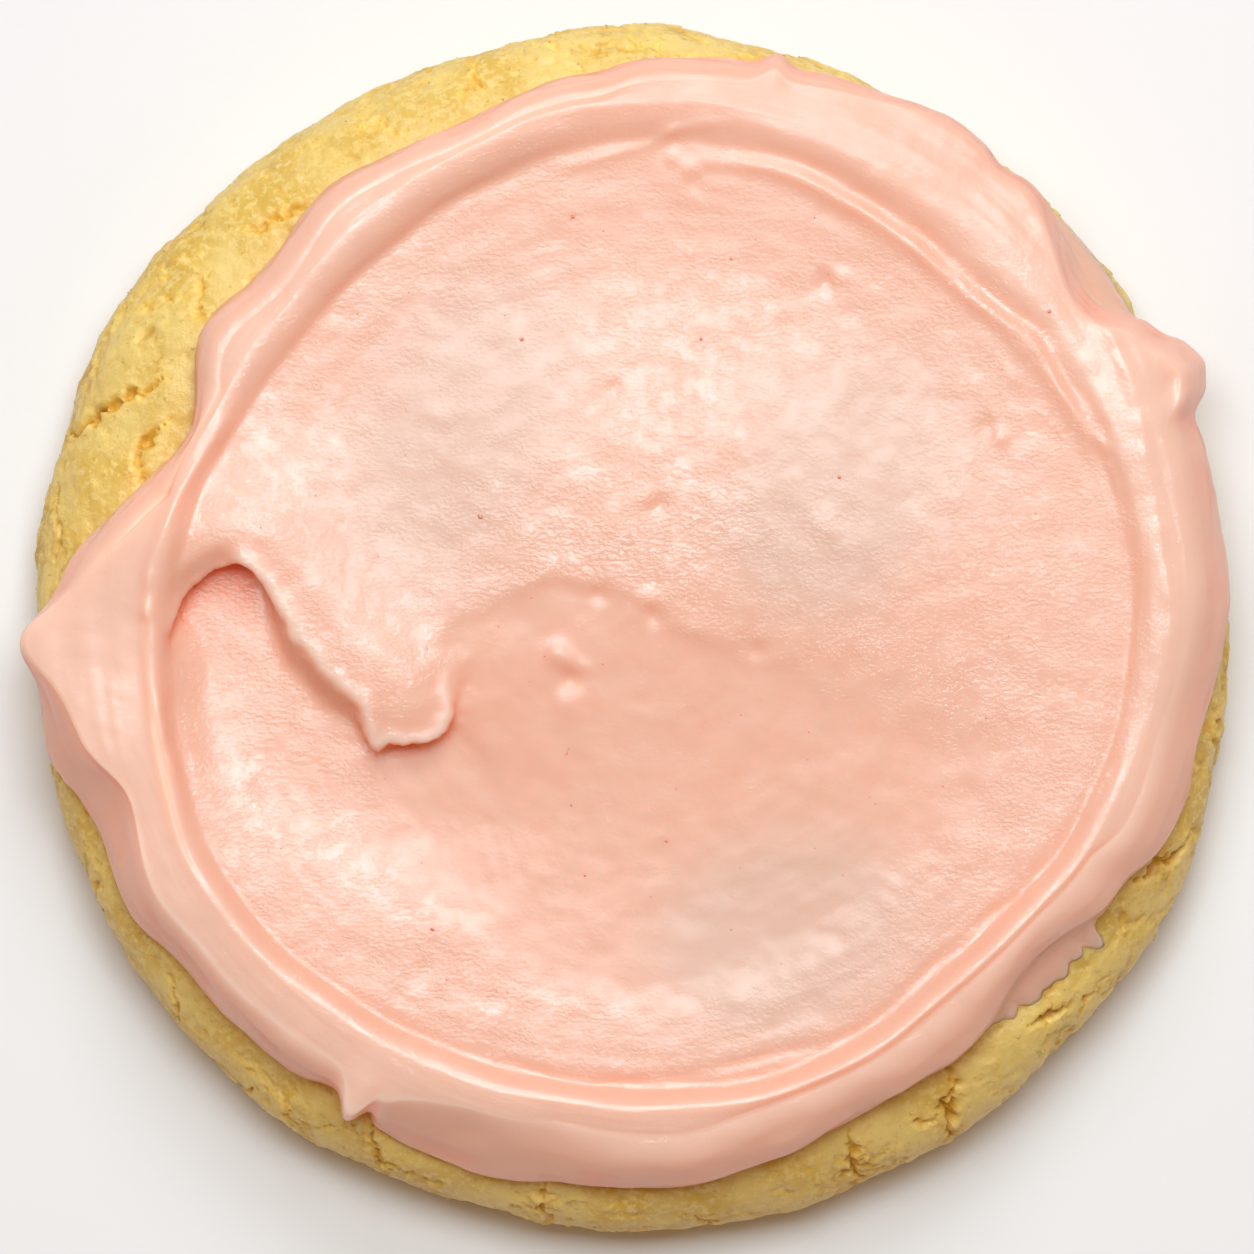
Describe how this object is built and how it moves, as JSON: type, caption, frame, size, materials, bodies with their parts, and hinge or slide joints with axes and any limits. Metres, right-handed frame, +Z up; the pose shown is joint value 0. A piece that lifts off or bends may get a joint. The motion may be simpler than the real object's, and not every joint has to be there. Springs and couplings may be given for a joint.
{
  "type": "frosted sugar cookie",
  "caption": "Large round sugar cookie: a thick pale biscuit with a cracked rim, topped with pink frosting spread by knife into a raised rim round a shallow dish.",
  "frame": {"origin": "middle of the biscuit's flat underside", "axes": "+Z up out of the frosted side, +X and +Y across the cookie; seen from above with +Y away, the frosting's open stroke is on the left (-X) and the bared shoulder at the upper left"},
  "size_m": [0.1091, 0.1094, 0.0207],
  "materials": {
    "crust": "dry, crumbly baked crust",
    "icing": "soft, slightly glossy knife-spread frosting"
  },
  "bodies": {
    "root": {"biscuit": "crust", "frosting": "icing"}
  },
  "joints": []
}
